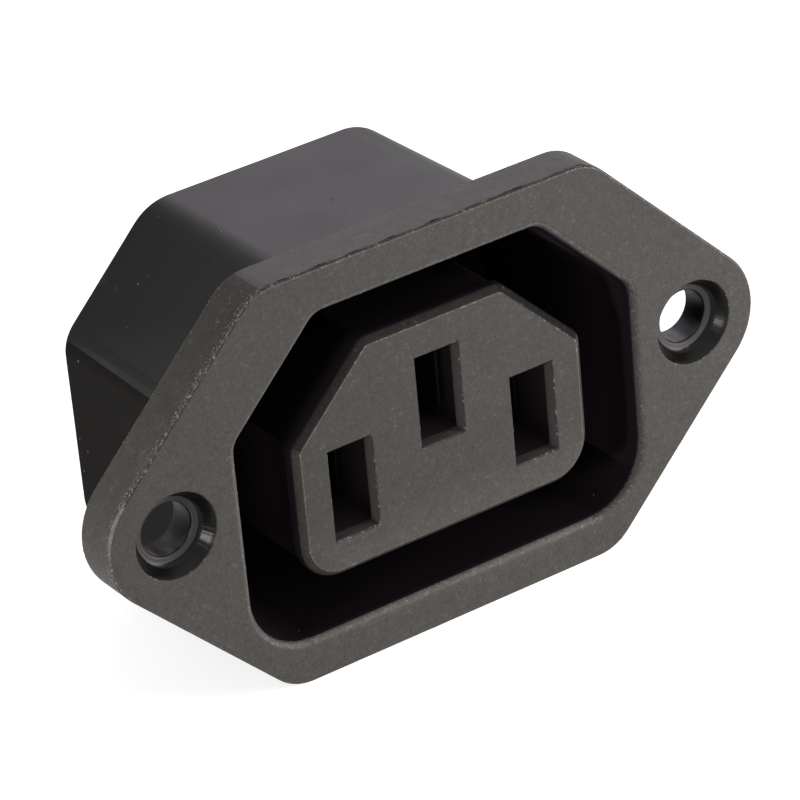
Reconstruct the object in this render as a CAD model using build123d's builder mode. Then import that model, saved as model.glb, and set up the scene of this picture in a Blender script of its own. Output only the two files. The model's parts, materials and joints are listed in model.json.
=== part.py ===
# Panel outlet socket with a C13 nose: housing with screw flange, slotted contact cover and three sprung contacts.
# X runs to the right seen from the front, +Z is up and the plug comes in from -Y.
# The origin is the middle of the flange's back face, which is the face of the panel.
from build123d import *
import math
import os

os.makedirs("parts", exist_ok=True)

# Slots and chambers of the contacts
pole_spacing = 14.0            # line to neutral
earth_rise = 4.0               # earth above the other two
pole_lift = 0.22               # middle of the slots above the middle of the flange
slot_width = 3.3
slot_height = 6.4
chamber_width = 4.3
chamber_height = 7.2

# Nose that goes into the plug's collar
nose_side_wall = 2.0           # from the outer chambers to the nose's sides
nose_end_wall = 2.25           # above the earth chamber and below the other two
nose_lift = 0.3                # middle of the nose above the middle of the flange
nose_chamfer = 5.8             # leg of the two upper corners
nose_shoulder_radius = 1.15
nose_bottom_radius = 2.85
nose_bevel = 0.45              # leg of the bevel round the nose's face
cover_thickness = 1.05
cover_overhang = 0.25          # the cover stands this far out over the block behind it

# Recess that takes the plug's collar
collar_side_gap = 4.0          # from the nose to the recess's sides
collar_end_gap = 3.2           # the same above and below
recess_depth = 16.6            # from the flange's front face
recess_chamfer = 6.7           # leg of the two upper corners
recess_shoulder_radius = 1.6
recess_bottom_radius = 4.2
recess_lip_radius = 0.6
recess_draft = 0.5             # degrees

# Flange
flange_border = 3.05           # above and below the recess
flange_thickness = 3.2
flange_corner_radius = 3.5
flange_edge_radius = 0.2
ear_radius = 4.85
screw_land = 4.85              # from the recess's sides to the middles of the screw holes
screw_hole_diameter = 3.6
screw_seat_diameter = 4.5      # flat ring under the screw's head
screw_mouth_diameter = 5.9
screw_seat_depth = 1.1
screw_rim_chamfer = 0.15       # between the seat and the hole

# Body behind the panel
body_side_wall = 0.85
body_end_wall = 1.05           # above and below the recess
body_corner_wall = 0.78        # behind the cut corners
body_rear_wall = 3.0           # behind the recess's floor
body_draft = 1.3               # degrees
body_top_radius = 4.2
body_side_radius = 3.2
body_rear_radius = 0.3

# Pegs of the cover
peg_diameter = 1.5
peg_length = 2.4
peg_clearance = 0.05
peg_end_clearance = 0.2
upper_peg_inset = 3.6          # from the nose's top
lower_peg_inset = 3.15         # from the nose's bottom
peg_tip_chamfer = 0.25

# Contacts, folded from strip
strip_thickness = 0.4
leaf_height = 4.6
leaf_spread = 1.5              # middle of the strip from the contact's middle plane
leaf_nip = 0.98                # the same where it grips the pin
leaf_flare = 1.45
nip_setback = 2.2              # from the mouth to where the leaf grips
grip_length = 2.6              # from there to where the leaf is fully apart
leaf_bend_length = 2.2
live_mouth_setback = 3.2       # from the cover's back face to the leaves' mouth
earth_mouth_setback = 1.4      # the earth contact is met first
shoulder_height = 6.4
shoulder_length = 1.4
tab_height = 4.8
tab_length = 8.0               # behind the body
tab_tip_chamfer = 1.0
tab_edge_chamfer = 0.2
tab_hole_diameter = 1.6
tab_hole_setback = 3.2         # from the tip
tab_clearance = 0.1
lance_height = 1.8
lance_length = 2.2
lance_rise = 0.55
lance_thickness = 0.32
lance_clearance = 0.08

# Sizes and places that follow: each outline stands its gap or wall outside the one before
nose_width = pole_spacing + chamber_width + 2 * nose_side_wall
nose_height = earth_rise + chamber_height + 2 * nose_end_wall
recess_width = nose_width + 2 * collar_side_gap
recess_height = nose_height + 2 * collar_end_gap
flange_height = recess_height + 2 * flange_border
screw_x = recess_width / 2 + screw_land
body_depth = recess_depth + body_rear_wall - flange_thickness  # behind the panel's face
front_y = -flange_thickness
cover_back_y = front_y + cover_thickness
floor_y = front_y + recess_depth
live_z = pole_lift - earth_rise / 2
earth_z = pole_lift + earth_rise / 2
tab_thickness = 2 * strip_thickness
corner_run = 2 - math.sqrt(2)  # a 45 degree chamfer's leg grows by this share of an offset
front_plane = Plane.XZ.offset(flange_thickness)
cover_back_plane = Plane.XZ.offset(-cover_back_y)
floor_plane = Plane.XZ.offset(-floor_y)
rear_plane = Plane.XZ.offset(-body_depth)
pole_places = [(-pole_spacing / 2, live_z), (pole_spacing / 2, live_z), (0, earth_z)]


def nose_outline(width, height, chamfer_leg, side_radius, top_radius, bottom_radius):
    """Rectangle with its two upper corners cut at 45 degrees, and every corner rounded."""
    half, top = width / 2, height / 2
    with BuildSketch() as outline:
        with BuildLine():
            Polyline(
                (-half, -top),
                (half, -top),
                (half, top - chamfer_leg),
                (half - chamfer_leg, top),
                (-half + chamfer_leg, top),
                (-half, top - chamfer_leg),
                close=True,
            )
        make_face()
        fillet(outline.vertices().group_by(Axis.Y)[-2], side_radius)
        fillet(outline.vertices().group_by(Axis.Y)[-1], top_radius)
        fillet(outline.vertices().group_by(Axis.Y)[0], bottom_radius)
    return outline.sketch


def grown_nose_outline(growth):
    """The nose's outline, all its sides moved out by growth, or in where growth is negative."""
    return nose_outline(
        nose_width + 2 * growth,
        nose_height + 2 * growth,
        nose_chamfer + corner_run * growth,
        nose_shoulder_radius + growth,
        nose_shoulder_radius + growth,
        nose_bottom_radius + growth,
    )


def peg_places():
    """Two pegs under the upper corners of the nose and two beside the middle of its lower edge."""
    earth_side = chamber_width / 2
    inner_side = pole_spacing / 2 - chamber_width / 2
    outer_side = pole_spacing / 2 + chamber_width / 2
    upper_x = (earth_side + outer_side) / 2
    upper_z = nose_lift + nose_height / 2 - upper_peg_inset
    lower_x = inner_side / 2
    lower_z = nose_lift - nose_height / 2 + lower_peg_inset
    return [(side * x, z) for side in (-1, 1) for x, z in ((upper_x, upper_z), (lower_x, lower_z))]


# Housing: flange, shroud, rear wall and the block that holds the contacts, in one moulding
with BuildPart() as housing:
    # flange, its slanted edges at 45 degrees and tangent to the ears
    flange_tip_x = screw_x + ear_radius * math.sqrt(2)
    flange_corner_x = flange_tip_x - flange_height / 2
    with BuildSketch(front_plane) as flange_outline:
        with BuildLine():
            Polyline(
                (flange_tip_x, 0),
                (flange_corner_x, flange_height / 2),
                (-flange_corner_x, flange_height / 2),
                (-flange_tip_x, 0),
                (-flange_corner_x, -flange_height / 2),
                (flange_corner_x, -flange_height / 2),
                close=True,
            )
        make_face()
        fillet(flange_outline.vertices().group_by(Axis.X)[0], ear_radius)
        fillet(flange_outline.vertices().group_by(Axis.X)[-1], ear_radius)
        fillet(flange_outline.vertices().group_by(Axis.Y)[0], flange_corner_radius)
        fillet(flange_outline.vertices().group_by(Axis.Y)[-1], flange_corner_radius)
    extrude(amount=-flange_thickness)
    fillet(housing.faces().sort_by(Axis.Y)[0].edges(), flange_edge_radius)

    # body, drawn in a little towards the rear
    body_chamfer = recess_chamfer + body_side_wall + body_end_wall - math.sqrt(2) * body_corner_wall
    with BuildSketch(Plane.XZ):
        add(
            nose_outline(
                recess_width + 2 * body_side_wall,
                recess_height + 2 * body_end_wall,
                body_chamfer,
                body_side_radius,
                body_top_radius,
                recess_bottom_radius + body_side_wall,
            )
        )
    extrude(amount=-body_depth, taper=body_draft)
    fillet(housing.faces().sort_by(Axis.Y)[-1].edges(), body_rear_radius)

    # recess, with a rounded lip
    with BuildSketch(front_plane):
        add(
            nose_outline(
                recess_width,
                recess_height,
                recess_chamfer,
                recess_shoulder_radius,
                recess_shoulder_radius,
                recess_bottom_radius,
            )
        )
    extrude(amount=-recess_depth, taper=recess_draft, mode=Mode.SUBTRACT)
    lip = housing.edges().filter_by_position(Axis.Y, front_y, front_y).filter_by(
        lambda edge: abs(edge.center().X) < recess_width / 2 + recess_lip_radius
        and abs(edge.center().Z) < recess_height / 2 + recess_lip_radius
    )
    fillet(lip, recess_lip_radius)

    # block behind the cover
    with BuildSketch(floor_plane):
        with Locations((0, nose_lift)):
            add(grown_nose_outline(-cover_overhang))
    extrude(amount=floor_y - cover_back_y)

    # contact chambers, open to the front until the cover goes on
    with BuildSketch(cover_back_plane):
        with Locations(*pole_places):
            Rectangle(chamber_width, chamber_height)
    extrude(amount=-(floor_y - cover_back_y), mode=Mode.SUBTRACT)

    # slots in the rear wall for the tabs
    with BuildSketch(rear_plane):
        with Locations(*pole_places):
            Rectangle(tab_thickness + 2 * tab_clearance, tab_height + 2 * tab_clearance)
    extrude(amount=body_rear_wall, mode=Mode.SUBTRACT)

    # blind holes for the cover's pegs
    with Locations(cover_back_plane):
        with Locations(*peg_places()):
            Hole(peg_diameter / 2 + peg_clearance, depth=peg_length + peg_end_clearance)

    # screw holes, each a tapered mouth over a flat seat
    mouth, seat, hole = screw_mouth_diameter / 2, screw_seat_diameter / 2, screw_hole_diameter / 2
    seat_y = front_y + screw_seat_depth
    for side in (-1, 1):
        with BuildSketch(Plane(origin=(side * screw_x, 0, 0), x_dir=(1, 0, 0), z_dir=(0, 0, 1))):
            with BuildLine():
                Polyline(
                    (0, front_y),
                    (mouth, front_y),
                    (seat, seat_y),
                    (hole + screw_rim_chamfer, seat_y),
                    (hole, seat_y + screw_rim_chamfer),
                    (hole, 0),
                    (0, 0),
                    close=True,
                )
            make_face()
        revolve(axis=Axis((side * screw_x, 0, 0), (0, 1, 0)), mode=Mode.SUBTRACT)

housing.part.label = "housing"
export_step(housing.part, "parts/housing.step")


# Contact cover: plate with a bevelled edge and the three slots, held by pegs in the block
with BuildPart() as contact_cover:
    with BuildSketch(cover_back_plane):
        with Locations((0, nose_lift)):
            add(grown_nose_outline(0))
        with Locations(*pole_places):
            Rectangle(slot_width, slot_height, mode=Mode.SUBTRACT)
    extrude(amount=cover_thickness)
    chamfer(contact_cover.faces().sort_by(Axis.Y)[0].outer_wire().edges(), nose_bevel)
    with BuildSketch(cover_back_plane):
        with Locations(*peg_places()):
            Circle(peg_diameter / 2)
    extrude(amount=-peg_length)
    peg_tips = contact_cover.faces().group_by(Axis.Y)[-1]
    chamfer(peg_tips.edges(), peg_tip_chamfer)

contact_cover.part.label = "contact_cover"
export_step(contact_cover.part, "parts/contact_cover.step")


def make_contact(name, place, mouth_setback):
    """Strip folded double into a tab, its two ends sprung apart into leaves that grip the pin from both sides."""
    x, z = place
    mouth_y = cover_back_y + mouth_setback
    shoulder_y = floor_y - shoulder_length
    tip_y = body_depth + tab_length
    layer = strip_thickness / 2
    with BuildPart() as contact:
        # two leaves, as seen from above
        for side in (-1, 1):
            with BuildSketch(Plane.XY.offset(z - leaf_height / 2)):
                with BuildLine():
                    Polyline(
                        (x + side * layer, floor_y),
                        (x + side * layer, shoulder_y),
                        (x + side * leaf_spread, shoulder_y - leaf_bend_length),
                        (x + side * leaf_spread, mouth_y + nip_setback + grip_length),
                        (x + side * leaf_nip, mouth_y + nip_setback),
                        (x + side * leaf_flare, mouth_y),
                    )
                    offset(amount=layer, side=Side.BOTH)
                make_face()
            extrude(amount=leaf_height)

        # shoulders that rest on the chamber's floor
        with BuildSketch(Plane.YZ.offset(x - strip_thickness)):
            with Locations(((shoulder_y + floor_y) / 2, z)):
                Rectangle(shoulder_length, shoulder_height)
        extrude(amount=tab_thickness)

        # tab with its hole and pointed tip
        with BuildSketch(Plane.YZ.offset(x - strip_thickness)) as tab_outline:
            with Locations(((floor_y + tip_y) / 2, z)):
                Rectangle(tip_y - floor_y, tab_height)
            chamfer(tab_outline.vertices().group_by(Axis.X)[-1], tab_tip_chamfer)
            with Locations((tip_y - tab_hole_setback, z)):
                Circle(tab_hole_diameter / 2, mode=Mode.SUBTRACT)
        extrude(amount=tab_thickness)
        tip_edges = contact.faces().sort_by(Axis.Y)[-1].edges().filter_by(Axis.Z)
        chamfer(tip_edges, tab_edge_chamfer)

        # lances that spring out behind the rear wall
        lance_y = body_depth + lance_clearance
        for side in (-1, 1):
            with BuildSketch(Plane.XY.offset(z - lance_height / 2)):
                with BuildLine():
                    Polyline(
                        (x + side * layer, lance_y + lance_length),
                        (x + side * strip_thickness, lance_y + lance_length),
                        (x + side * (strip_thickness + lance_rise), lance_y),
                        (x + side * (strip_thickness + lance_rise - lance_thickness), lance_y),
                        (x + side * layer, lance_y + lance_length / 2),
                        close=True,
                    )
                make_face()
            extrude(amount=lance_height)

    contact.part.label = name
    export_step(contact.part, f"parts/{name}.step")
    return contact.part


line_contact = make_contact("line_contact", pole_places[0], live_mouth_setback)
neutral_contact = make_contact("neutral_contact", pole_places[1], live_mouth_setback)
earth_contact = make_contact("earth_contact", pole_places[2], earth_mouth_setback)
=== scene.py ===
import bpy
import bmesh
import json
import math
from mathutils import Matrix, Vector


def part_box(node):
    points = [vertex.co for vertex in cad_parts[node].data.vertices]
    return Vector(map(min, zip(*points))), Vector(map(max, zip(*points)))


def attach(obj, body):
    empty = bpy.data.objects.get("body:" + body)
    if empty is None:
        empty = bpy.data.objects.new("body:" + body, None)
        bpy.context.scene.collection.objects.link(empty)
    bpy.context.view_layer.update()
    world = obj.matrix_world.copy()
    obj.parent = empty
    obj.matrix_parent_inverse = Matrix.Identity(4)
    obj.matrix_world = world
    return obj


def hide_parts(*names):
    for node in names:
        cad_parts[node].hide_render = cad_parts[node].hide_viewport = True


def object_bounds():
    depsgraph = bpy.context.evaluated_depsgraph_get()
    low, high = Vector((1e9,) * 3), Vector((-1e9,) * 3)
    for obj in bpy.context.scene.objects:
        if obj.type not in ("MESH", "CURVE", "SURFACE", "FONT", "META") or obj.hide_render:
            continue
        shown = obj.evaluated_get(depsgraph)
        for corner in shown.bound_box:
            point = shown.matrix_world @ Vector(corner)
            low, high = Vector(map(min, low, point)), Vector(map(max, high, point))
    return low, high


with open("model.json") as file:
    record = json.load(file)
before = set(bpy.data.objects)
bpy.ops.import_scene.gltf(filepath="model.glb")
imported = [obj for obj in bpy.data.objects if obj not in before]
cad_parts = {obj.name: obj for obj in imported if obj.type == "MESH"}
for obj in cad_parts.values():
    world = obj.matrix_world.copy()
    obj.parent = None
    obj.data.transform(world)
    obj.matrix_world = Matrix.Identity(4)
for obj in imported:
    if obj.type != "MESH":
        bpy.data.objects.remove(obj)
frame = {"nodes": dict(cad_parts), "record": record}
cadLow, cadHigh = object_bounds()
mm = 0.001
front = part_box("housing")[0].y                # the flange's front face
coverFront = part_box("contact_cover")[0].y     # the nose's front face
screwX = frame["record"]["mounts"][0]["dims"]["spacing_x_mm"] * mm / 2
print("frame loaded:", ", ".join(sorted(frame["nodes"])))


class Wire:
    # a node's output that can be used in sums and products
    def __init__(self, maker, output):
        self.maker, self.output = maker, output

    def maths(self, operation, *values):
        return self.maker.node("ShaderNodeMath", {"operation": operation}, list(values))

    def __add__(self, other): return self.maths("ADD", self, other)
    def __radd__(self, other): return self.maths("ADD", other, self)
    def __sub__(self, other): return self.maths("SUBTRACT", self, other)
    def __rsub__(self, other): return self.maths("SUBTRACT", other, self)
    def __mul__(self, other): return self.maths("MULTIPLY", self, other)
    def __rmul__(self, other): return self.maths("MULTIPLY", other, self)
    def __abs__(self): return self.maths("ABSOLUTE", self)


class Finish:
    # the nodes of one material, or of the world, under construction
    def __init__(self, owner):
        owner.use_nodes = True
        self.owner, self.tree = owner, owner.node_tree
        self.tree.nodes.clear()

    def node(self, kind, settings=None, sockets=None, out=0):
        made = self.tree.nodes.new(kind)
        for key, value in (settings or {}).items():
            setattr(made, key, value)
        pairs = enumerate(sockets) if isinstance(sockets, list) else (sockets or {}).items()
        for key, value in pairs:
            if isinstance(value, Wire):
                self.tree.links.new(value.output, made.inputs[key])
            elif isinstance(value, tuple) and len(value) == 3 and made.inputs[key].type == "RGBA":
                made.inputs[key].default_value = (*value, 1.0)
            else:
                made.inputs[key].default_value = value
        return Wire(self, made.outputs[out])

    def place(self):
        return self.node("ShaderNodeTexCoord", out="Object")

    def axis(self, place, name):
        return self.node("ShaderNodeSeparateXYZ", None, [place], name)

    def noise(self, place, scale, detail=2.0, roughness=0.5, stretch=(1, 1, 1)):
        moved = self.node("ShaderNodeMapping", None, {"Vector": place, "Scale": stretch})
        return self.node("ShaderNodeTexNoise", None,
                         {"Vector": moved, "Scale": scale, "Detail": detail, "Roughness": roughness}, "Fac")

    def step(self, value, low, high):
        # 0 below low, 1 above high, smooth between
        return self.node("ShaderNodeMapRange", {"interpolation_type": "SMOOTHSTEP"},
                         {"Value": value, "From Min": low, "From Max": high})

    def mix(self, factor, a, b):
        return self.node("ShaderNodeMix", {"data_type": "RGBA"}, {0: factor, 6: a, 7: b}, 2)

    def scaled(self, colour, factor):
        return self.node("ShaderNodeVectorMath", {"operation": "SCALE"}, {0: colour, "Scale": factor})

    def bump(self, strength, lift, height):
        return self.node("ShaderNodeBump", None, {"Strength": strength, "Distance": lift, "Height": height})

    def shell(self, cover=None, share=None, **sockets):
        # the cover is a matt tone over a share of the surface
        named = {key.replace("_", " "): value for key, value in sockets.items()}
        shader = self.node("ShaderNodeBsdfPrincipled", None, named)
        if cover:
            matt = self.node("ShaderNodeBsdfPrincipled", None,
                             {"Base Color": cover, "Roughness": 0.9, "Specular IOR Level": 0.0})
            shader = self.node("ShaderNodeMixShader", None, [share, shader, matt])
        self.surface(shader)
        return self.owner

    def surface(self, shader, kind="ShaderNodeOutputMaterial"):
        out = self.tree.nodes.new(kind)
        self.tree.links.new(shader.output, out.inputs["Surface"])


def toned(colour, *factors):
    # a colour times one factor, or times one for each channel
    return tuple(min(1.0, c * k) for c, k in zip(colour, factors if len(factors) == 3 else factors * 3))


# noise scales are in cycles per metre, places and widths in metres

mattFace = dict(colour=(0.0597, 0.0552, 0.0506), pale=(0.15, 0.143, 0.125), roughness=0.68, roughGain=0.12, level=0.3,
                grain=5200.0, grainGain=0.85, mottle=1300.0, mottleGain=0.6, cloud=300.0, cloudGain=0.22,
                warm=(1.025, 0.995, 0.96), cool=(0.98, 1.005, 1.03), tintFrom=0.35, tintTo=0.65,
                lift=0.00002, strength=0.5, speck=0.4, speckFrom=0.94, speckTo=1.04,
                partingLine=front + 0.00031, partingWidth=0.00013, partingCore=0.3, partingRagged=0.00006,
                # a painted highlight: a paler band on the face along the recess's lower lip
                partingDark=0.6, highlightLine=-0.0112, highlightWidth=0.0008, highlightHalf=0.0105, highlightEnd=0.0012, highlightGain=0.3,
                # painted shade: the face darker towards the top and towards the right
                upperPaintedShade=0.16, upperFrom=-0.010, upperTo=0.013, rightPaintedShade=0.10, rightFrom=0.003, rightTo=0.014)
# the nose face is a lighter copy of the face, darker towards the top: painted light and shade
noseFace = dict(mattFace, colour=toned(mattFace["colour"], 1.12), upperPaintedShade=0.295, upperFrom=-0.0072,
                upperTo=-0.0032)
slotWall = dict(mattFace, colour=(0.046, 0.0433, 0.0425), strength=0.4, partingDark=0.0, highlightGain=0.0, speck=0.1,
                speckFrom=0.88, speckTo=1.0, upperPaintedShade=0.0, rightPaintedShade=0.0)
# the rounded edges are paler than the face: partly pale flash, partly a painted highlight along the edge
brokenEdge = dict(slotWall, colour=(0.088, 0.082, 0.073), pale=(0.26, 0.25, 0.22), speck=1.0, strength=1.0,
                  grain=4200.0)
paleEdge = dict(brokenEdge, colour=(0.105, 0.099, 0.088), speckFrom=0.80, speckTo=1.0)
# a painted glint on the ear's left front edge
glintEdge = dict(paleEdge, pale=(0.42, 0.39, 0.34), speckFrom=0.82, speckTo=0.96, highlightLine=0.0020,
                 highlightWidth=0.0024, highlightHalf=1.0, highlightGain=1.0)
raggedEdge = dict(brokenEdge, colour=(0.062, 0.057, 0.051), pale=(0.20, 0.195, 0.17), grain=4600.0,
                  speckFrom=0.80, speckTo=0.92)
partingMark = dict(slotWall, colour=(0.022, 0.020, 0.018), pale=(0.13, 0.125, 0.11), speck=1.0, grain=4200.0,
                   speckFrom=0.82, speckTo=0.9)
palerFlake = dict(slotWall, colour=(0.14, 0.133, 0.119), pale=(0.32, 0.31, 0.275), speck=1.0, grain=3300.0,
                  speckFrom=0.7, speckTo=0.85)
# the recess lip is paler than the face, a painted highlight; the shaded lip is a darker copy for the right and upper
# left runs, painted shade
roundedLip = dict(slotWall, colour=(0.080, 0.075, 0.069), roughness=0.6, pale=(0.16, 0.152, 0.14), speck=0.6,
                  grain=4600.0, speckFrom=0.80, speckTo=0.92, fadeStart=front, fadeFrom=0.00006, fadeTo=0.00048,
                  fadeRagged=0.0002, paintedShadeTone=(0.012, 0.0105, 0.011))
shadedLip = dict(roundedLip, colour=(0.050, 0.047, 0.0435), fadeFrom=-0.00004, fadeTo=0.00042)
# the nose bevel is one finish: the left run is a lighter copy, painted light; the top run and upper right are darker
# copies, painted shade
bevelBand = dict(slotWall, colour=(0.050, 0.0462, 0.0425), pale=(0.065, 0.060, 0.053), speck=0.6, grain=3600.0,
                 level=0.06, strength=0.8, fadeStart=coverFront, fadeFrom=0.0001, fadeTo=0.0008,
                 fadeRagged=0.00025, paintedShadeTone=(0.008, 0.0070, 0.0078))
upperBand = dict(bevelBand, colour=(0.024, 0.0220, 0.0203))
shadedBand = dict(bevelBand, colour=(0.0095, 0.0087, 0.0085))

plainSmooth = dict(broad=180.0, deeper=0.85, lighter=1.15, roughGain=0.1, lift=0.00002, strength=0.2)
satinBody = dict(plainSmooth, colour=(0.0088, 0.0080, 0.0074), roughness=0.42, level=0.08, wave=900.0,
                 scuff=(0.024, 0.022, 0.022), scuffScale=1500.0, scuffStretch=(0.25, 1.0, 1.0), scuffFrom=0.62,
                 scuffTo=0.72, scuffPatch=0.5, patchScale=240.0, patchFade=0.18)
# the left side is the satin body's plastic with less sheen, to darken it: painted shade
dullSide = dict(satinBody, colour=(0.0115, 0.0107, 0.0100), roughness=0.5, level=0.012, wave=1400.0,
                scuffStretch=(1.0, 0.25, 1.0))
flangeRim = dict(satinBody, colour=(0.088, 0.082, 0.0765), roughness=0.5, level=0.07, wave=3000.0, strength=0.35,
                 scuff=(0.130, 0.125, 0.118), scuffPatch=0.42, grain=4200.0, grainGain=0.5)
topRim = dict(flangeRim, colour=(0.090, 0.0845, 0.0835), cover=(0.012, 0.011, 0.010), coverLine=front + 0.00013,
              coverHalf=0.00024, coverCore=0.5, coverRagged=0.0007, coverScale=1900.0, gapScale=700.0,
              gapFrom=0.36, gapTo=0.58)
# the worn rim darker towards the top: painted shade
wornRim = dict(topRim, colour=flangeRim["colour"], coverLine=front + 0.00010, coverHalf=0.00018,
               coverRagged=0.0005, upperPaintedShade=0.4, upperFrom=0.002, upperTo=0.0135)
# the recess walls are one plastic: the floors keep its colour, the side walls and chambers are lighter copies,
# painted light, and the right wall darkens towards the lip, painted shade
darkWall = dict(plainSmooth, colour=(0.0080, 0.0062, 0.0080), roughness=0.50, level=0.05, wave=2500.0)
shadedWall = dict(darkWall, colour=(0.046, 0.0375, 0.0445))
fadingWall = dict(darkWall, colour=(0.040, 0.031, 0.039), paintedShadeTone=(0.009, 0.007, 0.009),
                  fadeFrom=front + 0.0005, fadeTo=front + 0.0050)
chamberWall = dict(darkWall, colour=(0.070, 0.055, 0.067))
glossMouth = dict(plainSmooth, colour=(0.0042, 0.0036, 0.0034), roughness=0.28, level=0.145, wave=1500.0,
                  lift=0.00007, strength=0.42, rays=6.0, rayRipple=0.25)
drilledBore = dict(plainSmooth, colour=(0.0062, 0.0052, 0.0062), roughness=0.34, level=0.06, wave=1500.0,
                   paintedReflection=(0.15, 0.14, 0.155), paintedReflectionTop=-0.0008, paintedReflectionBottom=-0.0017, paintedReflectionLeast=0.35,
                   streakScale=1300.0, streakStretch=(1.0, 0.4, 1.0), streakFrom=0.35, streakTo=0.65)
seatRing = dict(plainSmooth, colour=(0.055, 0.052, 0.050), roughness=0.5, level=0.2, wave=2500.0, strength=0.3)

stripMetal = dict(colour=(0.60, 0.46, 0.25), deeper=0.8, lighter=1.15, paintedShade=(0.010, 0.008, 0.009),
                  paintedShadeFrom=0.0165, paintedShadeTo=0.0125, paintedShadeRagged=0.0015, roughness=0.38, roughGain=0.15,
                  level=0.05, wave=1800.0, waveStretch=(1.0, 0.08, 1.0), lift=0.00001, strength=0.15)


def mattPlastic(name, s):
    f = Finish(bpy.data.materials.new(name))
    place = f.place()
    x, y, z = (f.axis(place, axis) for axis in "XYZ")
    grain = f.noise(place, s["grain"], 2.0, 0.6)
    mottle = f.noise(place, s["mottle"], 3.0, 0.6)
    cloud = f.noise(place, s["cloud"], 2.0)
    relief = grain + 0.5 * mottle
    fromLine = abs(y - s["partingLine"] - s["partingRagged"] * (mottle - 0.5))
    line = 1 - f.step(fromLine, s["partingWidth"] * s["partingCore"], s["partingWidth"])
    # a painted highlight, a paler band along a line of height
    worn = 1 - f.step(abs(z - s["highlightLine"]), 0.0, s["highlightWidth"])
    worn = worn * (1 - f.step(abs(x), s["highlightHalf"], s["highlightHalf"] + s["highlightEnd"]))
    tone = 1.0 + s["grainGain"] * (grain - 0.5) + s["mottleGain"] * (mottle - 0.5) + s["cloudGain"] * (cloud - 0.5)
    tone = tone * (1 - s["partingDark"] * line) * (1 + s["highlightGain"] * worn)
    # painted shade, darker towards the top and towards the right
    tone = tone * (1 - s["upperPaintedShade"] * f.step(z, s["upperFrom"], s["upperTo"]))
    tone = tone * (1 - s["rightPaintedShade"] * f.step(x, s["rightFrom"], s["rightTo"]))
    tint = f.mix(f.step(mottle, s["tintFrom"], s["tintTo"]),
                 toned(s["colour"], *s["warm"]), toned(s["colour"], *s["cool"]))
    base = f.scaled(tint, tone)
    specks = f.step(relief, s["speckFrom"], s["speckTo"])
    if "paintedShadeTone" in s:
        # painted shade, darker away from the front into the recess, up to an uneven line
        depth = y - s["fadeStart"] + s["fadeRagged"] * (mottle - 0.5)
        faded = f.step(depth, s["fadeFrom"], s["fadeTo"])
        base = f.mix(faded, base, s["paintedShadeTone"])
        specks = specks * (1 - faded)
    return f.shell(Base_Color=f.mix(specks * s["speck"], base, s["pale"]),
                   Roughness=s["roughness"] + s["roughGain"] * (mottle - 0.5),
                   Specular_IOR_Level=s["level"], Normal=f.bump(s["strength"], s["lift"], relief))


def smoothPlastic(name, s):
    f = Finish(bpy.data.materials.new(name))
    place = f.place()
    wave = f.noise(place, s["wave"], 3.0)
    broad = f.noise(place, s["broad"], 2.0)
    tone = f.mix(broad, toned(s["colour"], s["deeper"]), toned(s["colour"], s["lighter"]))
    if "scuff" in s:
        scuffs = f.step(f.noise(place, s["scuffScale"], 3.0, 0.6, s["scuffStretch"]), s["scuffFrom"], s["scuffTo"])
        patches = f.step(f.noise(place, s["patchScale"], 2.0), s["scuffPatch"], s["scuffPatch"] + s["patchFade"])
        tone = f.mix(scuffs * patches, tone, s["scuff"])
    share = None
    if "cover" in s:
        # a broken dark line along the front edge
        ragged = f.noise(place, s["coverScale"], 4.0, 0.75)
        fromLine = abs(f.axis(place, "Y") - s["coverLine"] - s["coverRagged"] * (ragged - 0.5))
        share = 1 - f.step(fromLine, s["coverHalf"] * s["coverCore"], s["coverHalf"])
        share = share * f.step(f.noise(place, s["gapScale"], 2.0), s["gapFrom"], s["gapTo"])
    if "grain" in s:
        grains = f.noise(place, s["grain"], 2.0, 0.6) + f.noise(place, s["grain"] / 4, 2.0)
        tone = f.scaled(tone, 1.0 + s["grainGain"] * (grains - 1.0))
    # painted shade, darker towards the top
    if "upperPaintedShade" in s:
        tone = f.scaled(tone, 1 - s["upperPaintedShade"] * f.step(f.axis(place, "Z"), s["upperFrom"], s["upperTo"]))
    # painted shade, darker towards the front
    if "paintedShadeTone" in s:
        tone = f.mix(f.step(f.axis(place, "Y"), s["fadeFrom"], s["fadeTo"]), s["paintedShadeTone"], tone)
    # a painted reflection: pale streaks low in the bore
    if "paintedReflection" in s:
        low = 1 - f.step(f.axis(place, "Z"), s["paintedReflectionBottom"], s["paintedReflectionTop"])
        streaks = f.noise(place, s["streakScale"], 1.0, 0.5, s["streakStretch"])
        streaks = f.step(streaks, s["streakFrom"], s["streakTo"])
        tone = f.mix(low * (s["paintedReflectionLeast"] + (1 - s["paintedReflectionLeast"]) * streaks), tone, s["paintedReflection"])
    if "rays" in s:
        # streaks that run down the cone, drawn round the screw's axis
        turn = f.node("ShaderNodeMath", {"operation": "ARCTAN2"},
                      [f.axis(place, "Z"), abs(f.axis(place, "X")) - screwX])
        ray = f.node("ShaderNodeTexNoise", {"noise_dimensions": "1D"},
                     {"W": turn, "Scale": s["rays"], "Detail": 3.0}, "Fac")
        wave = ray + s["rayRipple"] * wave
    return f.shell(s.get("cover"), share, Base_Color=tone,
                   Roughness=s["roughness"] + s["roughGain"] * (broad - 0.5),
                   Specular_IOR_Level=s["level"], Normal=f.bump(s["strength"], s["lift"], wave))


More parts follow.
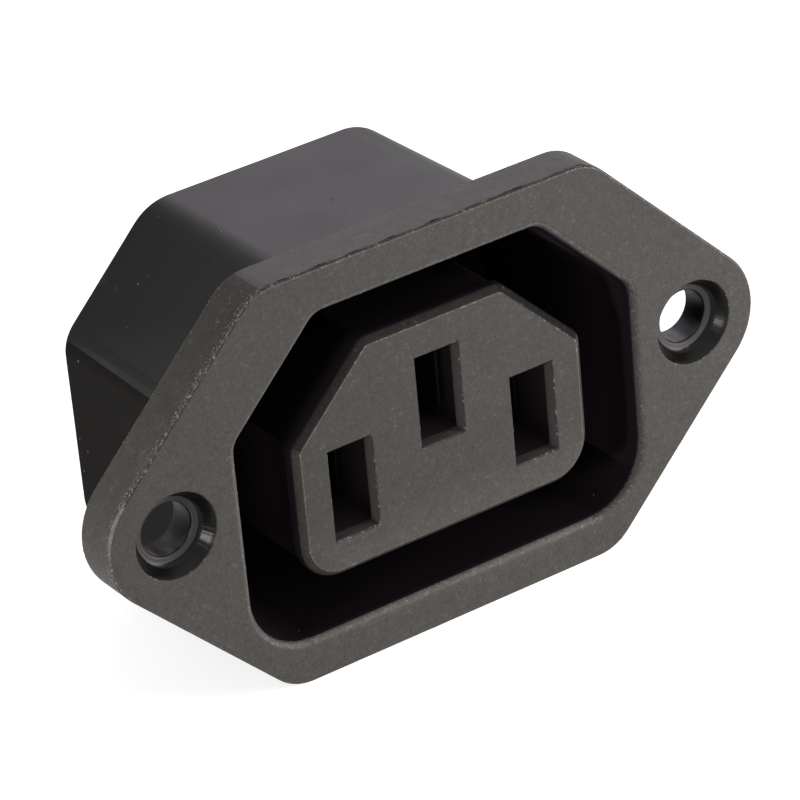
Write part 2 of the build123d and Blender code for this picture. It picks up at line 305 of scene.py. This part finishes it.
def rolledMetal(name, s):
    f = Finish(bpy.data.materials.new(name))
    place = f.place()
    rolled = f.noise(place, s["wave"], 3.0, 0.6, s["waveStretch"])
    tone = f.mix(rolled, toned(s["colour"], s["deeper"]), toned(s["colour"], s["lighter"]))
    # painted shade, dark and matt inside the chambers, bright on the tabs
    depth = f.axis(place, "Y") + s["paintedShadeRagged"] * (rolled - 0.5)
    inShade = 1 - f.step(depth, s["paintedShadeTo"], s["paintedShadeFrom"])
    return f.shell(Base_Color=f.mix(inShade, tone, s["paintedShade"]), Metallic=1 - inShade,
                   Roughness=s["roughness"] + s["roughGain"] * (rolled - 0.5),
                   Specular_IOR_Level=s["level"], Normal=f.bump(s["strength"], s["lift"], rolled))


finishes = {
    "face": mattPlastic("moulded matt face with painted light and shade", mattFace),
    "wall": mattPlastic("slot wall", slotWall),
    "edge": mattPlastic("broken moulding edge with painted highlight", brokenEdge),
    "earEdge": mattPlastic("pale worn edge with painted highlight", paleEdge),
    "earGlint": mattPlastic("worn edge with a painted glint", glintEdge),
    "ragged": mattPlastic("ragged moulding edge", raggedEdge),
    "lip": mattPlastic("rounded recess lip with painted highlight", roundedLip),
    "nose": mattPlastic("nose face with painted light and shade", noseFace),
    "rim": smoothPlastic("flange rim", flangeRim),
    "topRim": smoothPlastic("flange rim with a dark line", topRim),
    "lipShade": mattPlastic("shaded recess lip", shadedLip),
    "wornRim": smoothPlastic("worn flange rim with painted shade", wornRim),
    "fade": smoothPlastic("wall with painted shade towards the lip", fadingWall),
    "parting": mattPlastic("parting mark", partingMark),
    "flake": mattPlastic("pale flash", palerFlake),
    "shade": smoothPlastic("wall with painted light", shadedWall),
    "chamber": smoothPlastic("chamber wall with painted light", chamberWall),
    "bore": smoothPlastic("drilled bore with painted reflection", drilledBore),
    "body": smoothPlastic("satin body", satinBody),
    "side": smoothPlastic("body side with painted shade", dullSide),
    "seat": smoothPlastic("screw seat", seatRing),
    "dark": smoothPlastic("recess wall", darkWall),
    "mouth": smoothPlastic("polished screw mouth", glossMouth),
    "band": mattPlastic("nose bevel", bevelBand),
    "bandTop": mattPlastic("upper nose bevel with painted shade", upperBand),
    "bandShade": mattPlastic("shaded nose bevel", shadedBand),
    "metal": rolledMetal("rolled contact strip with painted shade", stripMetal),
}
print("finishes made:", len(finishes))


def newObject(name, data):
    made = bpy.data.objects.new(name, data)
    bpy.context.scene.collection.objects.link(made)
    return made


edges = dict(housing=0.00007, contact_cover=0.00010, segments=2, mergeWithin=1e-7, flatAngle=0.3, sharpAngle=28.0,
             shadeAngle=35.0, burrStrip=0.0005, sortWay=Vector((1.0, 0.6180, 0.3717)))


def easedCopy(nodeName):
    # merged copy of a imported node, flat faces joined, sharp outer edges rounded
    s = edges
    bm = bmesh.new()
    bm.from_mesh(frame["nodes"][nodeName].data)
    bmesh.ops.remove_doubles(bm, verts=bm.verts, dist=s["mergeWithin"])
    bmesh.ops.dissolve_limit(bm, angle_limit=math.radians(s["flatAngle"]), verts=bm.verts, edges=bm.edges)
    rounded = bm.faces.layers.int.new("rounded")
    sharp = [e for e in bm.edges if e.is_manifold and e.is_convex
             and math.degrees(e.calc_face_angle()) > s["sharpAngle"]]
    made = bmesh.ops.bevel(bm, geom=sharp, offset=s[nodeName], segments=s["segments"], profile=0.5,
                           affect="EDGES", clamp_overlap=False)
    for face in made["faces"]:
        face[rounded] = 1
    # a strip of faces behind the front edge, for the flash
    bmesh.ops.bisect_plane(bm, geom=bm.verts[:] + bm.edges[:] + bm.faces[:],
                           plane_co=(0, front + s["burrStrip"], 0), plane_no=(0, 1, 0))
    # sorted, so that the flakes lie in the same places in every run
    bm.verts.sort(key=lambda v: v.co.dot(s["sortWay"]))
    bmesh.ops.triangulate(bm, faces=[f for f in bm.faces if len(f.verts) > 4])
    bm.faces.sort(key=lambda f: f.calc_center_median().dot(s["sortWay"]))
    mesh = bpy.data.meshes.new(nodeName + "_moulding")
    bm.to_mesh(mesh)
    bm.free()
    piece = newObject(nodeName + "_moulding", mesh)
    for polygon in mesh.polygons:
        polygon.use_smooth = True
    mesh.set_sharp_from_angle(angle=math.radians(s["shadeAngle"]))
    weigh = piece.modifiers.new("flat faces stay flat", "WEIGHTED_NORMAL")
    weigh.mode, weigh.weight, weigh.keep_sharp = "FACE_AREA", 100, True
    graph = bpy.context.evaluated_depsgraph_get()
    piece.data = bpy.data.meshes.new_from_object(piece.evaluated_get(graph), preserve_all_data_layers=True,
                                                 depsgraph=graph)
    piece.modifiers.remove(weigh)
    return piece


# where each finish begins and ends: places in metres, facings as one part of a face's normal

hair = 0.00001                                # leeway for faces that lie on a plane
contactAt = dict(poleX=0.007, poleZ=-0.0018, earthZ=0.0022)
chamberHalf = dict(width=0.0024, height=0.0039)
slotHalf = dict(width=0.0020, height=0.0034)
screwMouth = dict(radius=0.0031, boreRadius=0.00181, rimDepth=0.0002, seatFrom=-0.001, seatFacing=-0.6,
                  rearFacing=0.5)
recess = dict(halfWidth=0.0152, halfHeight=0.0111, upperCut=0.0199, lowerCut=0.0244, lip=0.0008, depth=0.0135,
              lipFacing=-0.42, floorFacing=0.5, leftFacing=-0.5)
body = dict(leftFacing=-0.9, slant=0.35)
flange = dict(rearEdge=0.0002, frontEdge=0.0006, faceEnd=-0.96, rimStart=-0.05, paleFacing=-0.8,
              flatFacing=0.3, topFacing=0.4)
wornPart = dict(leftFacing=-0.2, downFacing=-0.35, right=-0.009, bottom=-0.004, ear=-0.0215, darkFacing=-0.75)


def roundContact(x, z, half):
    # within a box of this half width and height round one of the three contacts
    inMiddle = abs(x) < half["width"]
    fromRow = abs(z - contactAt["earthZ" if inMiddle else "poleZ"])
    return (inMiddle or abs(abs(x) - contactAt["poleX"]) < half["width"]) and fromRow < half["height"]


def inRecess(x, y, z):
    s = recess
    lip = s["lip"] if y < front + s["lip"] else 0.0       # the rounded lip stands outside the recess
    return (abs(x) < s["halfWidth"] + lip and abs(z) < s["halfHeight"] + lip
            and abs(x) + z < s["upperCut"] + lip and abs(x) - z < s["lowerCut"] + lip)


def wornSlant(centre, normal):
    # the flange's upper left slant, where the tool's parting has worn
    s = wornPart
    return (normal.x < s["leftFacing"] and normal.z > s["downFacing"]
            and centre.x < s["right"] and centre.z > s["bottom"])


def screwFinish(aroundScrew, y, normal, rounded):
    s = screwMouth
    if aroundScrew < s["boreRadius"]:
        return "bore"
    if rounded and y < front + s["rimDepth"]:
        return "parting"
    return "seat" if normal.y < s["seatFacing"] and y < s["seatFrom"] else "mouth"


def housingFinish(centre, normal, rounded):
    x, y, z = centre
    aroundScrew = math.hypot(abs(x) - screwX, z)
    inFlange = front + hair < y < hair
    if aroundScrew < screwMouth["radius"] and inFlange and normal.y < screwMouth["rearFacing"]:
        return screwFinish(aroundScrew, y, normal, rounded)
    inside = inRecess(x, y, z)
    if inside and y < recess["depth"] and normal.y > recess["lipFacing"]:
        # the recess's chambers and side walls take lighter copies, painted light; its right wall takes the copy with
        # painted shade towards the lip
        if roundContact(x, z, chamberHalf):
            return "chamber"
        if normal.z > recess["floorFacing"]:
            return "dark"
        return "fade" if normal.x < recess["leftFacing"] else "shade"
    if y > 2 * hair:
        return "side" if normal.x < body["leftFacing"] and abs(normal.z) < body["slant"] else "body"
    if rounded and y > -flange["rearEdge"] and not inside:
        return "earEdge"
    worn = wornSlant(centre, normal)
    if flange["faceEnd"] < normal.y < flange["rimStart"] and y < front + flange["frontEdge"]:
        if inside:
            # the lower and left lip runs take the paler lip, a painted highlight; the others take the darker copy,
            # painted shade
            return "lipShade" if normal.x < recess["leftFacing"] or normal.x < 0 and normal.z > 0 else "lip"
        if worn:
            # the ear's front edge takes the painted glint
            return "earGlint" if x < wornPart["ear"] else "parting" if normal.y < wornPart["darkFacing"] else "ragged"
        # a rounded edge's forward-facing part takes the pale edge, partly a painted highlight
        return "parting" if normal.y > flange["paleFacing"] else "edge"
    if abs(normal.y) > flange["flatFacing"]:
        return "face"
    if worn:
        return "wornRim"
    return "topRim" if normal.z > flange["topFacing"] else "rim"


nose = dict(edgeDepth=0.00015, chamberDepth=0.0010, rearDepth=0.0003, lineFacing=-0.88, cornerFacing=0.15,
            cornerFrom=0.002, raggedFacing=0.1, raggedX=0.009, raggedZ=0.0062, flatFacing=-0.95, bevelFacing=-0.3,
            upperFacing=0.3, shadeFacing=0.1, floorFacing=0.5, leftFacing=-0.3)


def coverFinish(centre, normal, rounded):
    x, y, z = centre
    s = nose
    atSlot = roundContact(x, z, slotHalf)
    if rounded and y < coverFront + s["edgeDepth"] and atSlot:
        return "parting"
    # the nose's forward-facing rounded edges take the pale edges, partly a painted highlight
    if rounded and y < coverFront + s["edgeDepth"] and normal.y < s["lineFacing"]:
        # the upper right rounded corner takes the dark parting mark: painted shade
        if normal.x > s["cornerFacing"] and normal.z > s["cornerFacing"] and x > s["cornerFrom"]:
            return "parting"
        return "ragged" if normal.z > s["raggedFacing"] and (abs(x) > s["raggedX"] or z > s["raggedZ"]) else "edge"
    if y > coverFront + s["chamberDepth"]:
        # the chambers and side walls take lighter copies of the recess wall: painted light
        if roundContact(x, z, chamberHalf):
            return "chamber"
        return "dark" if normal.z > s["floorFacing"] else "shade"
    if normal.y < s["flatFacing"]:
        return "nose"
    if atSlot:
        return "wall"
    if rounded and y > coverFront + s["rearDepth"]:
        return "dark"
    # the bevel's left, top and upper right runs take the lit and shaded copies: painted light and shade
    if normal.y < s["bevelFacing"]:
        if normal.z < s["upperFacing"]:
            return "band"
        return "bandShade" if normal.x > s["shadeFacing"] else "bandTop"
    # floors and left faces keep the recess wall's colour; the others take the lighter copy, painted light
    return "dark" if normal.z > s["floorFacing"] or normal.x < s["leftFacing"] else "shade"


burrShares = dict(wornEar=1.8, worn=1.1, wornBehind=0.04, lip=0.10, ragged=1.0, raggedLeft=0.6, screw=0.35,
                  upper=0.45, lower=0.12)
burrPlaces = dict(raggedFrom=-0.0125, raggedDepth=0.0002, screwRadius=0.0035, lowerFacing=-0.2)
dustShares = dict(dark=1.0, shade=1.0, body=0.3, side=0.3)
dustDepth = 0.004                             # in the recess, dust lies this near to the front


def burrShare(centre, normal, finish):
    # how thickly the moulding's flash stands along this face
    x, y, z = centre
    if finish == "wornRim":
        if y > front + edges["burrStrip"]:
            return burrShares["wornBehind"]
        return burrShares["wornEar"] if x < wornPart["ear"] else burrShares["worn"]
    if finish == "lip":
        return burrShares["lip"]
    if finish == "ragged":
        thick = x > burrPlaces["raggedFrom"] or y > front + burrPlaces["raggedDepth"]
        return burrShares["ragged" if thick else "raggedLeft"]
    if finish not in ("edge", "earEdge", "earGlint"):
        return 0.0
    if math.hypot(abs(x) - screwX, z) < burrPlaces["screwRadius"]:
        return burrShares["screw"]
    return burrShares["upper" if normal.z > burrPlaces["lowerFacing"] else "lower"]


def dustShare(centre, finish):
    if finish in ("dark", "shade") and centre.y >= dustDepth:
        return 0.0
    return dustShares.get(finish, 0.0)


def dress(nodeName, chooser):
    piece = easedCopy(nodeName)
    used = []
    rounded = [entry.value for entry in piece.data.attributes["rounded"].data]
    burrs = piece.data.attributes.new("burrs", "FLOAT", "FACE")
    dust = piece.data.attributes.new("dust", "FLOAT", "FACE")
    for polygon in piece.data.polygons:
        name = chooser(polygon.center, polygon.normal, rounded[polygon.index])
        if name not in used:
            used.append(name)
            piece.data.materials.append(finishes[name])
        polygon.material_index = used.index(name)
        burrs.data[polygon.index].value = burrShare(polygon.center, polygon.normal, name)
        dust.data[polygon.index].value = dustShare(polygon.center, name)
    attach(piece, "root")
    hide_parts(nodeName)
    print("dressed", nodeName, "with", ", ".join(used), "faces", len(piece.data.polygons))
    return piece


# flakes of flash and dust, strewn over the faces as thickly as an attribute says

burrSettings = dict(housing=dict(density=7.0e7, size=0.000042, seed=4),
                    contact_cover=dict(density=7.0e7, size=0.000036, seed=9))
dustSettings = dict(density=1.3e5, size=0.00006, seed=12)
flakeShape = dict(smallest=(0.35, 0.35, 0.25), largest=(1.5, 1.1, 0.8), turnFrom=(-0.5, -0.5, 0.0),
                  turnTo=(0.5, 0.5, 6.28))


def flakeTree(name, s):
    tree = bpy.data.node_groups.new(name, "GeometryNodeTree")
    for label, kind, way in (("Geometry", "NodeSocketGeometry", "INPUT"), ("Density", "NodeSocketFloat", "INPUT"),
                             ("Flake Size", "NodeSocketFloat", "INPUT"), ("Seed", "NodeSocketInt", "INPUT"),
                             ("Where", "NodeSocketString", "INPUT"), ("Finish", "NodeSocketMaterial", "INPUT"),
                             ("Geometry", "NodeSocketGeometry", "OUTPUT")):
        tree.interface.new_socket(label, in_out=way, socket_type=kind)

    def add(kind, settings=None, sockets=None):
        node = tree.nodes.new(kind)
        for key, value in (settings or {}).items():
            setattr(node, key, value)
        for key, value in (sockets or {}).items():
            if isinstance(value, bpy.types.NodeSocket):
                tree.links.new(value, node.inputs[key])
            else:
                node.inputs[key].default_value = value
        return node

    given = add("NodeGroupInput").outputs
    share = add("GeometryNodeInputNamedAttribute", {"data_type": "FLOAT"}, {"Name": given["Where"]})
    dense = add("ShaderNodeMath", {"operation": "MULTIPLY"}, {0: share.outputs["Attribute"], 1: given["Density"]})
    points = add("GeometryNodeDistributePointsOnFaces", {"distribute_method": "RANDOM"},
                 {"Mesh": given["Geometry"], "Density": dense.outputs[0], "Seed": given["Seed"]})
    shard = add("GeometryNodeMeshIcoSphere", None, {"Radius": given["Flake Size"], "Subdivisions": 1})
    stretch = add("FunctionNodeRandomValue", {"data_type": "FLOAT_VECTOR"},
                  {"Min": s["smallest"], "Max": s["largest"], "Seed": given["Seed"]})
    spread = add("GeometryNodeInstanceOnPoints", None,
                 {"Points": points.outputs["Points"], "Instance": shard.outputs["Mesh"],
                  "Rotation": points.outputs["Rotation"], "Scale": stretch.outputs["Value"]})
    turn = add("FunctionNodeRandomValue", {"data_type": "FLOAT_VECTOR"},
               {"Min": s["turnFrom"], "Max": s["turnTo"], "Seed": given["Seed"]})
    turned = add("GeometryNodeRotateInstances", None,
                 {"Instances": spread.outputs["Instances"], "Rotation": turn.outputs["Value"]})
    real = add("GeometryNodeRealizeInstances", None, {"Geometry": turned.outputs["Instances"]})
    finish = add("GeometryNodeSetMaterial", None, {"Geometry": real.outputs["Geometry"], "Material": given["Finish"]})
    add("NodeGroupOutput", None, {"Geometry": finish.outputs["Geometry"]})
    return tree


def strew(name, over, tree, where, s, finish):
    carrier = newObject(name + "_carrier", over.data.copy())
    modifier = carrier.modifiers.new("strew", "NODES")
    modifier.node_group = tree
    values = {"Density": s["density"], "Flake Size": s["size"], "Seed": s["seed"], "Where": where, "Finish": finish}
    for socket in tree.interface.items_tree:
        if socket.in_out == "INPUT" and socket.name in values:
            modifier[socket.identifier] = values[socket.name]
    graph = bpy.context.evaluated_depsgraph_get()
    mesh = bpy.data.meshes.new_from_object(carrier.evaluated_get(graph))
    carrier.modifiers.remove(modifier)
    bpy.data.objects.remove(carrier)
    piece = newObject(name, mesh)
    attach(piece, "root")
    print("strewn", name, "faces", len(mesh.polygons))


housing = dress("housing", housingFinish)
cover = dress("contact_cover", coverFinish)
flakes = flakeTree("strewn flakes", flakeShape)
for piece, nodeName in ((housing, "housing"), (cover, "contact_cover")):
    strew(nodeName + "_flash", piece, flakes, "burrs", burrSettings[nodeName], finishes["flake"])
strew("recess_dust", housing, flakes, "dust", dustSettings, finishes["flake"])
for name in ("line_contact", "neutral_contact", "earth_contact"):
    node = frame["nodes"][name]
    node.data.materials.clear()
    node.data.materials.append(finishes["metal"])
print("contacts finished")


stageSettings = dict(floorColour=(0.8, 0.8, 0.8), floorGlow=0.74, floorGloss=0.55, worldLevel=0.18, size=3.0)
lampSettings = [
    dict(name="keyRight", at=(0.14, -0.11, 0.028), size=0.08, power=0.335, colour=(1.0, 0.99, 0.97)),
    dict(name="sideLeft", at=(-0.95, -0.27, 0.20), size=0.14, power=5.2, colour=(1.0, 0.99, 0.97)),
    dict(name="backRight", at=(0.22, 0.343, 0.22), size=0.20, power=0.436, colour=(0.97, 0.87, 1.0)),
    dict(name="above", at=(0.05, -0.35, 1.1), size=1.3, power=3.1, colour=(1.0, 1.0, 1.0)),
]
lampTarget = Vector((0.0, 0.004, 0.0))
diskShare = 1.128                             # a disk this much wider has a square lamp's area
cameraSettings = dict(azimuth=-32.43244, elevation=28.48589, roll=-5.38205,
                      eye=(-0.1459796, -0.2282005, 0.1476871), lens=219.0258, sensor=36.0, near=0.01, far=20.0)
white = (1.0, 1.0, 1.0)


def seenDirectly(f, straight=1.0, inGloss=1.0):
    # these levels for the camera, straight, through glass or in gloss, and 0 for light on the object
    camera, glass, gloss = (f.node("ShaderNodeLightPath", out=name)
                            for name in ("Is Camera Ray", "Is Transmission Ray", "Is Glossy Ray"))
    return f.node("ShaderNodeMath", {"operation": "MINIMUM"},
                  [straight * (camera + glass) + inGloss * gloss, 1.0])


def makeFloor(s):
    f = Finish(bpy.data.materials.new("pale floor"))
    cloth = f.node("ShaderNodeBsdfDiffuse", None, {"Color": s["floorColour"]})
    glow = f.node("ShaderNodeEmission", None,
                  {"Color": white, "Strength": seenDirectly(f, s["floorGlow"], s["floorGloss"])})
    f.surface(f.node("ShaderNodeAddShader", None, [cloth, glow]))
    half, z = s["size"] / 2, cadLow.z
    mesh = bpy.data.meshes.new("floor")
    mesh.from_pydata([(-half, -half, z), (half, -half, z), (half, half, z), (-half, half, z)], [], [(0, 1, 2, 3)])
    mesh.materials.append(f.owner)
    floor = newObject("floor", mesh)


def makeWorld(s):
    w = Finish(bpy.data.worlds.new("studio"))
    seen = seenDirectly(w)
    sky = w.node("ShaderNodeBackground", None,
                 {"Color": white, "Strength": seen + (1 - seen) * s["worldLevel"]})
    w.surface(sky, "ShaderNodeOutputWorld")
    bpy.context.scene.world = w.owner


def makeLamps(lamps):
    for s in lamps:
        lamp = bpy.data.lights.new(s["name"], "AREA")
        lamp.shape, lamp.size = "DISK", s["size"] * diskShare
        lamp.energy, lamp.color = s["power"], s["colour"]
        thing = newObject(s["name"], lamp)
        thing.location = s["at"]
        thing.rotation_euler = (Vector(s["at"]) - lampTarget).to_track_quat("Z", "Y").to_euler()
        thing.visible_camera = False


def makeCamera(s):
    turn, rise, roll = (math.radians(s[key]) for key in ("azimuth", "elevation", "roll"))
    back = Vector((math.sin(turn) * math.cos(rise), -math.cos(turn) * math.cos(rise), math.sin(rise)))
    level = Vector((math.cos(turn), math.sin(turn), 0.0))
    above = back.cross(level)
    right = level * math.cos(roll) + above * math.sin(roll)
    up = above * math.cos(roll) - level * math.sin(roll)
    lens = bpy.data.cameras.new("camera")
    lens.lens, lens.sensor_width = s["lens"], s["sensor"]
    lens.clip_start, lens.clip_end = s["near"], s["far"]
    camera = newObject("camera", lens)
    camera.matrix_world = Matrix.Translation(s["eye"]) @ Matrix((right, up, back)).transposed().to_4x4()
    bpy.context.scene.camera = camera


makeFloor(stageSettings)
makeWorld(stageSettings)
makeLamps(lampSettings)
makeCamera(cameraSettings)
bpy.context.scene.view_settings.view_transform = "Standard"
print("stage, lamps and camera set")
